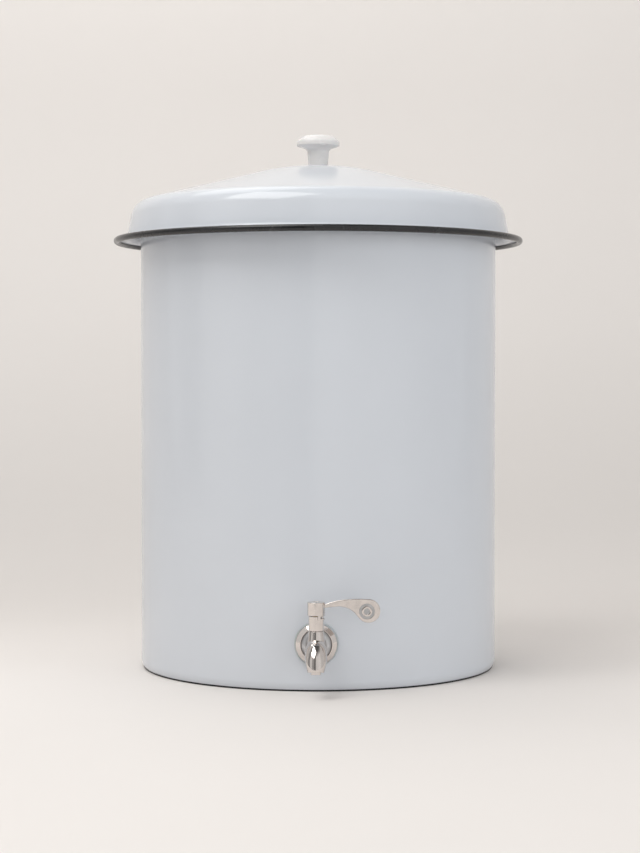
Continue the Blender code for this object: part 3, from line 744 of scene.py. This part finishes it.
def spout_stations(radii, steps=22):
    """Places along the spout's bend, from the valve's axis forwards and down to the outlet."""
    start = Vector((0, STEM_Y, TAP_Z + 2.2 * MM))
    outlet = Vector((0, STEM_Y - 16.9 * MM, BODY_LOW.z))
    curve = interpolate_bezier(start, start + Vector((0, -6.5 * MM, -4.8 * MM)),
                               outlet + Vector((0, 1.1 * MM, 7.8 * MM)), outlet, steps)
    stations = []
    for i, point in enumerate(curve):
        last, following = curve[max(i - 1, 0)], curve[min(i + 1, len(curve) - 1)]
        run = following - last
        share = i / (len(curve) - 1) * (len(radii) - 1)
        left = min(int(share), len(radii) - 2)
        radius = radii[left] + (radii[left + 1] - radii[left]) * (share - left)
        stations.append((point.y, point.z, math.atan2(-run.y, run.z), radius))
    return stations


class DISPENSER_OT_tap(bpy.types.Operator):
    """Makes the tap's casting with its threaded shank, its rosette, seal and bonnet"""

    bl_idname = "dispenser.tap"
    bl_label = "Tap"

    def execute(self, context):
        self.make_casting()
        self.make_rosette()
        self.make_bonnet()
        return {"FINISHED"}

    def make_casting(self):
        stem, seat = -STEM_Y, -ROSETTE_LOW.y - 0.5 * MM
        shank_end = -BODY_HIGH.y
        root, crest, pitch = 7.45 * MM, 8.0 * MM, 1.3 * MM
        thread = []
        ridge = seat - 7 * MM
        while ridge > shank_end + pitch:
            thread += [(crest, ridge), (crest, ridge - 0.15 * MM), (root, ridge - 0.6 * pitch)]
            ridge -= pitch
        neck = rounded([
            (0, stem, 0), (8.5 * MM, stem, 0), (8.5 * MM, seat + 2.8 * MM, 1 * MM),
            (10.6 * MM, seat + 2 * MM, 0.5 * MM), (10.6 * MM, seat, 0.2 * MM), (8 * MM, seat, 0),
        ], closed=False, steps=4)
        neck += thread + [(root, shank_end), (0, shank_end)]
        casting = turned("tap_casting", neck, 72, closed=False, where=ON_SHANK)
        spout = tube("spout", spout_stations([r * MM for r in (7.8, 8.9, 9.4, 9.4, 9.0, 8.1, 7.0)]), 72)
        shape = bmesh.new()
        middle = Matrix.Translation((0, STEM_Y, TAP_Z + 0.3 * MM))
        bmesh.ops.create_uvsphere(shape, u_segments=72, v_segments=48, radius=8.6 * MM, matrix=middle)
        ball = finish_mesh("ball", shape)
        top = BONNET_HIGH.z - 12.8 * MM
        socket = turned("socket", rounded([
            (0, top, 0), (BONNET_HIGH.x, top, 0.4 * MM), (8 * MM, TAP_Z + 1 * MM, 0),
            (0, TAP_Z + 1 * MM, 0),
        ], closed=False), 72, closed=False, where=ON_STEM)
        combine(casting, [ball, spout, socket], "UNION")
        way = spout_stations([4.2 * MM, 4.2 * MM])[2:]
        way.append((way[-1][0], way[-1][1] - 2 * MM, way[-1][2], way[-1][3]))
        cutters = [
            rod("chamber", 5.1 * MM, (0, STEM_Y, TAP_Z - 5.6 * MM), (0, STEM_Y, top + 3 * MM), 48),
            rod("inlet", 4.2 * MM, (0, BODY_HIGH.y + 3 * MM, TAP_Z), (0, STEM_Y, TAP_Z), 48),
            tube("way_out", way, 48),
        ]
        combine(casting, cutters)
        place(casting, "vessel", finish("Polished plating"), "polished_metal", "tap_body")

    def make_rosette(self):
        back = -ROSETTE_HIGH.y
        front = -ROSETTE_LOW.y
        rim, step = ROSETTE_HIGH.x, 13.2 * MM
        corners = [
            (step, back + 2.2 * MM, 0.2 * MM), (step + 0.2 * MM, front, 0.2 * MM),
            (step + 0.8 * MM, front, 0.25 * MM), (rim - 0.4 * MM, front - 2.4 * MM, 0.4 * MM),
            (rim, back, 0.3 * MM), (8.4 * MM, back, 0.2 * MM), (8.4 * MM, back + 2.2 * MM, 0.2 * MM),
        ]
        rosette = turned("polished_rosette", rounded(corners, steps=3), 96, where=ON_SHANK)
        place(rosette, "vessel", finish("Polished plating"), "polished_metal", "tap_rosette")
        floor = back + 2.25 * MM
        corners = [
            (step - 0.1 * MM, floor, 0), (step - 0.1 * MM, floor + 0.5 * MM, 0.2 * MM),
            (10.9 * MM, floor + 3.4 * MM, 1.0 * MM), (8.55 * MM, floor + 4.2 * MM, 0.3 * MM),
            (8.55 * MM, floor, 0),
        ]
        collar = turned("satin_collar", rounded(corners[::-1], steps=4), 96, where=ON_SHANK)
        place(collar, "vessel", finish("Satin steel"), "polished_metal")

        wall = bpy.context.scene.dispenser_sizes.wall_radius
        corners = [
            (8.4 * MM, wall - 3 * MM, 0), (8.4 * MM, -SEAL_LOW.y, 0.2 * MM),
            (SEAL_HIGH.x, -SEAL_LOW.y, 0.6 * MM), (SEAL_HIGH.x, wall - 3 * MM, 0),
        ]
        seal = turned("silicone_seal", rounded(corners[::-1], steps=4), 96, where=ON_SHANK)
        shape = spun([(0, 0.2), (wall + 0.3 * MM, 0.2), (wall + 0.3 * MM, 0), (0, 0)], 360, closed=False)
        combine(seal, [finish_mesh("wall_face", shape)])
        place(seal, "vessel", finish("Silicone"), "silicone", "outer_seal")

    def make_bonnet(self):
        top, low = BONNET_HIGH.z, BONNET_LOW.z
        ledge = top - 12.5 * MM
        wide, thread = BONNET_HIGH.x, 4.8 * MM
        corners = [
            (3.5 * MM, top, 0.2 * MM), (wide, top, 0.5 * MM), (wide, ledge, 0.4 * MM),
            (thread, ledge, 0.1 * MM), (thread, low, 0.3 * MM), (3.5 * MM, low, 0.2 * MM),
        ]
        bonnet = turned("polished_bonnet", rounded(corners, steps=4), 72, where=ON_STEM)
        pin = Vector((0, STEM_Y, top - 1 * MM))
        out = Vector((1, -1, 0)).normalized()
        hole = rod("pin_hole", 1.0 * MM, pin + out * 4.3 * MM, pin + out * 8 * MM)
        combine(bonnet, [hole])
        place(bonnet, "vessel", finish("Polished plating"), "polished_metal", "tap_bonnet")


class DISPENSER_OT_lever(bpy.types.Operator):
    """Makes the lever's slotted hub, and its arm with the dished paddle"""

    bl_idname = "dispenser.lever"
    bl_label = "Lever"

    def execute(self, context):
        hub = self.make_hub()
        place(hub, "lever", finish("Polished plating"), "polished_metal", "lever")
        arm = self.make_arm(context.scene.dispenser_sizes.lever_edge)
        place(arm, "lever", finish("Polished plating"), "polished_metal", "lever")
        return {"FINISHED"}

    def make_hub(self):
        top, foot = BONNET_HIGH.z + 11.7 * MM, BONNET_HIGH.z + 0.6 * MM
        skirt = LEVER_LOW_SKIRT
        wide, inner = 7.4 * MM, 6.75 * MM
        corners = [
            (3.2 * MM, top, 0.3 * MM), (wide, top, 0.5 * MM), (wide, skirt, 0.25 * MM),
            (inner, skirt, 0.2 * MM), (inner, foot, 0.1 * MM), (1.8 * MM, foot, 0.1 * MM),
            (1.8 * MM, top - 2.2 * MM, 0.1 * MM), (3.2 * MM, top - 2.2 * MM, 0.1 * MM),
        ]
        hub = turned("lever_hub", rounded(corners, steps=4), 96, where=ON_STEM)
        edge = wide * math.cos(math.radians(78))
        side = block("open_side", (-12 * MM, STEM_Y - 12 * MM, skirt - 2 * MM),
                     (edge, STEM_Y + 12 * MM, foot))
        high = BONNET_HIGH.z
        slot = turned("slot", [(6.2 * MM, high), (8.4 * MM, high), (8.4 * MM, high - 2 * MM),
                               (6.2 * MM, high - 2 * MM)], 96, where=ON_STEM)
        beyond = block("beyond", (-12 * MM, STEM_Y - 12 * MM, skirt), (3.8 * MM, STEM_Y + 12 * MM, top))
        combine(slot, [beyond])
        half = 2.4 * MM
        socket = block("socket", (-half, STEM_Y - half, foot - 1 * MM),
                       (half, STEM_Y + half, top - 3.7 * MM))
        return combine(hub, [side, slot, socket])

    def make_arm(self, edge):
        centre = (44.1, 4.3)  # heights are above the bonnet's top
        outline = [
            (4.5, 9.8), (8.5, 10.3), (12.0, 11.5), (17.4, 13.0), (24.0, 14.0), (32.0, 14.5), (38.5, 14.5),
        ]
        outline += arc(centre, 10, 92, -145, 26)
        outline += [
            (34.4, 0.4), (32.2, 3.0), (28.6, 5.7), (24.5, 7.3), (19.5, 8.0), (12.0, 7.4), (4.5, 6.4),
        ]
        shape = bmesh.new()
        back = STEM_Y + 1.7 * MM
        verts = [shape.verts.new((x * MM, back, BONNET_HIGH.z + z * MM)) for x, z in outline]
        face = shape.faces.new(verts)
        grown = bmesh.ops.extrude_face_region(shape, geom=[face])["geom"]
        moved = [item for item in grown if isinstance(item, bmesh.types.BMVert)]
        bmesh.ops.translate(shape, verts=moved, vec=(0, -3.4 * MM, 0))
        bmesh.ops.recalc_face_normals(shape, faces=shape.faces)
        plates = [item for item in shape.faces if len(item.verts) > 4]
        rims = list({rim for plate in plates for rim in plate.edges})
        bmesh.ops.bevel(shape, geom=rims, offset=edge, offset_type="OFFSET", segments=5, profile=0.5,
                        affect="EDGES", material=-1, clamp_overlap=True)
        arm = finish_mesh("lever_arm", shape, sharp=40)
        front = STEM_Y - 1.7 * MM
        middle = Vector((42.8 * MM, front, BONNET_HIGH.z + 3.9 * MM))
        dish = rod("dish", 6.7 * MM, middle + Vector((0, 1 * MM, 0)), middle - Vector((0, 2 * MM, 0)), 72)
        combine(arm, [dish], sharp=40)
        facing = Matrix.Translation((middle.x, 0, middle.z)) @ Matrix.Rotation(math.radians(90), 4, "X")
        face_at = -front
        ring = turned("raised_ring", rounded([
            (2.5 * MM, face_at - 0.1 * MM, 0.3 * MM), (4.4 * MM, face_at - 0.1 * MM, 0.3 * MM),
            (4.4 * MM, face_at - 1.2 * MM, 0), (2.5 * MM, face_at - 1.2 * MM, 0),
        ], steps=4), 72, where=facing)
        combine(arm, [ring], "UNION", sharp=40)
        backing = turned("dish_floor", rounded([
            (0, face_at - 1.05 * MM, 0), (6.6 * MM, face_at - 1.05 * MM, 0),
            (6.6 * MM, face_at - 0.9 * MM, 0.1 * MM), (0, face_at - 0.9 * MM, 0),
        ], closed=False), 72, closed=False, where=facing)
        place(backing, "lever", finish("Satin steel"), "polished_metal")
        return arm


class DISPENSER_OT_hardware(bpy.types.Operator):
    """Gives the small CAD pieces that keep their shape their finishes"""

    bl_idname = "dispenser.hardware"
    bl_label = "Small hardware"

    def execute(self, context):
        wanted = {
            "inner_seal": "Silicone", "lower_o_ring": "Silicone", "upper_o_ring": "Silicone",
            "inner_washer": "Steel on the shank",
            "lock_nut": "Steel on the shank", "stop_pin": "Steel on the stem",
            "lever_screw": "Steel on the stem", "valve_plug": "Brass on the stem",
            "knob_insert": "Brass on the knob", "knob_washer": "Steel on the knob",
            "knob_screw": "Steel on the knob",
        }
        for node, name in wanted.items():
            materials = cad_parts[node].data.materials
            materials.clear()
            materials.append(finish(name))
        return {"FINISHED"}


# Stage


ROOM = 0.82
OVERHEAD = 0.15 * ROOM
ROOM_TINT = (1.0, 0.985, 0.97)
ROOM_TONES = [  # share of the turn from the left, by the front, right and back; then tone
    (0.00, 0.30), (0.02, 0.18), (0.045, 0.85), (0.11, 0.85), (0.125, 0.45), (0.19, 0.42), (0.205, 0.14),
    (0.238, 0.14), (0.252, 0.85), (0.40, 1.0), (0.46, 0.72), (0.54, 0.75), (0.60, 0.85), (0.95, 0.85),
    (1.0, 0.30),
]
PANELS = {  # size, place, where it aims, watts, tint, whether polished surfaces mirror it
    "ceiling": ((1.3, 1.3), (-0.78, -0.9, 2.1), (0, -0.3, 0), 20.5, (1.0, 0.99, 0.97), True),
    "window": ((1.1, 1.6), (-2.0, -1.0, 1.5), (0, 0, 0.3), 7.0, (1.0, 1.0, 1.0), False),
    "right_fill": ((1.6, 1.4), (2.0, -1.4, 0.9), (0, 0, 0.25), 10.0, (0.92, 0.98, 1.04), False),
    "wall_wash": ((1.4, 0.6), (0, 0.1, 2.6), (0, 1.15, 0.7), 7.5, (1.0, 0.99, 0.97), False),
    "front_fill": ((2.2, 1.2), (0, -2.8, 0.8), (0, 0, 0.3), 7.0, (1.0, 0.99, 0.98), False),
    "back_top": ((1.1, 0.9), (-0.5, 0.55, 1.9), (0, 0, 0.42), 5.0, (1.0, 1.0, 1.0), True),
}


def panel_light(name, size, place_at, aim, watts, tint, mirrored):
    data = bpy.data.lights.new(name, "AREA")
    data.shape = "RECTANGLE"
    data.size, data.size_y = size
    data.energy = watts
    data.color = tint
    light = bpy.data.objects.new(name, data)
    bpy.context.scene.collection.objects.link(light)
    light.location = place_at
    light.rotation_euler = (Vector(aim) - Vector(place_at)).to_track_quat("-Z", "Y").to_euler()
    light.visible_glossy = mirrored
    light.visible_camera = False


def studio_world():
    """The room round the stage, dim overhead, with the uprights that polished metal mirrors."""
    world = bpy.data.worlds.new("Studio")
    world.use_nodes = True
    nodes, link = world.node_tree.nodes, world.node_tree.links.new
    coordinates, round_room = nodes.new("ShaderNodeTexCoord"), nodes.new("ShaderNodeTexGradient")
    round_room.gradient_type = "RADIAL"
    tones = nodes.new("ShaderNodeValToRGB")
    set_stops(tones.color_ramp, ROOM_TONES, ROOM_TINT)
    link(coordinates.outputs["Object"], round_room.inputs["Vector"])
    link(round_room.outputs["Fac"], tones.inputs["Fac"])
    link(tones.outputs["Color"], nodes["Background"].inputs["Color"])
    height, overhead = nodes.new("ShaderNodeSeparateXYZ"), nodes.new("ShaderNodeMapRange")
    overhead.inputs["From Min"].default_value = 0.8
    overhead.inputs["From Max"].default_value = 0.95
    overhead.inputs["To Min"].default_value = ROOM
    overhead.inputs["To Max"].default_value = OVERHEAD
    link(coordinates.outputs["Object"], height.inputs["Vector"])
    link(height.outputs["Z"], overhead.inputs["Value"])
    link(overhead.outputs["Result"], nodes["Background"].inputs["Strength"])
    return world


def paper_sheet(name, outline, across):
    """A sheet of paper that is as wide as across and follows an outline of (y, z)."""
    shape = bmesh.new()
    verts = [shape.verts.new((across[1], y, z)) for y, z in outline]
    edges = [shape.edges.new(pair) for pair in zip(verts, verts[1:])]
    grown = bmesh.ops.extrude_edge_only(shape, edges=edges)["geom"]
    moved = [item for item in grown if isinstance(item, bmesh.types.BMVert)]
    bmesh.ops.translate(shape, verts=moved, vec=(across[0] - across[1], 0, 0))
    return finish_mesh(name, shape)


def dress_stage(obj, paper):
    """Turns the faces of a stage piece towards the dispenser and gives it its paper."""
    middle = Vector((0, 0, 0.6))
    face = obj.data.polygons[0]
    if (middle - face.center).dot(face.normal) < 0:
        obj.data.flip_normals()
    obj.data.materials.append(finish(paper))
    return obj


class DISPENSER_OT_stage(bpy.types.Operator):
    """Makes the sweep, the soft lights and the camera"""

    bl_idname = "dispenser.stage"
    bl_label = "Stage"

    def execute(self, context):
        scene = context.scene
        outline = [(-1.0, 0.0)] + arc((0.45, 0.7), 0.7, -90, 0, 24) + [(1.15, 3.2)]
        dress_stage(paper_sheet("paper_sweep", outline, (-3.5, 3.5)), "Sweep paper with painted shade")
        below = -0.4 * MM
        outline = [(0, below)] + arc((3.0, 0.6 + below), 0.6, -90, 0, 12) + [(3.6, 3.0)]
        far = dress_stage(turned("far_paper", outline, 96, closed=False), "Far paper")
        far.visible_glossy = False
        far.visible_diffuse = False
        far.visible_shadow = False

        scene.world = studio_world()
        for name, settings in PANELS.items():
            panel_light(name, *settings)

        lens = bpy.data.cameras.new("camera")
        lens.lens = 82.87
        camera = bpy.data.objects.new("camera", lens)
        scene.collection.objects.link(camera)
        round_axis = Matrix.Rotation(math.radians(0.48), 4, "Z")
        camera.location = round_axis @ Vector((0.0017, -1.8365, 0.2727))
        camera.rotation_euler = (math.radians(90 - 1.563), 0, math.radians(0.48))
        scene.camera = camera
        scene.view_settings.view_transform = "Standard"
        return {"FINISHED"}


class DISPENSER_PT_panel(bpy.types.Panel):
    """Lists the dispenser's sizes, colours and makers"""

    bl_idname = "DISPENSER_PT_panel"
    bl_label = "Water Filter Dispenser"
    bl_space_type = "VIEW_3D"
    bl_region_type = "UI"
    bl_category = "Dispenser"

    def draw(self, context):
        for group in (context.scene.dispenser_sizes, context.scene.dispenser_colours):
            column = self.layout.column(align=True)
            for name in group.__annotations__:
                column.prop(group, name)
        column = self.layout.column(align=True)
        for maker in MAKERS:
            column.operator(maker.bl_idname)


MAKERS = (
    DISPENSER_OT_vessel,
    DISPENSER_OT_filter,
    DISPENSER_OT_lid,
    DISPENSER_OT_knob,
    DISPENSER_OT_tap,
    DISPENSER_OT_lever,
    DISPENSER_OT_hardware,
    DISPENSER_OT_stage,
)
CLASSES = (DispenserSizes, DispenserColours, *MAKERS, DISPENSER_PT_panel)


def register():
    for each in CLASSES:
        bpy.utils.register_class(each)
    bpy.types.Scene.dispenser_sizes = PointerProperty(type=DispenserSizes)
    bpy.types.Scene.dispenser_colours = PointerProperty(type=DispenserColours)


def unregister():
    del bpy.types.Scene.dispenser_colours
    del bpy.types.Scene.dispenser_sizes
    for each in reversed(CLASSES):
        bpy.utils.unregister_class(each)


def main():
    register()
    for maker in MAKERS:
        operator = maker.bl_idname.split(".")[1]
        getattr(bpy.ops.dispenser, operator)()


if __name__ == "__main__":
    main()
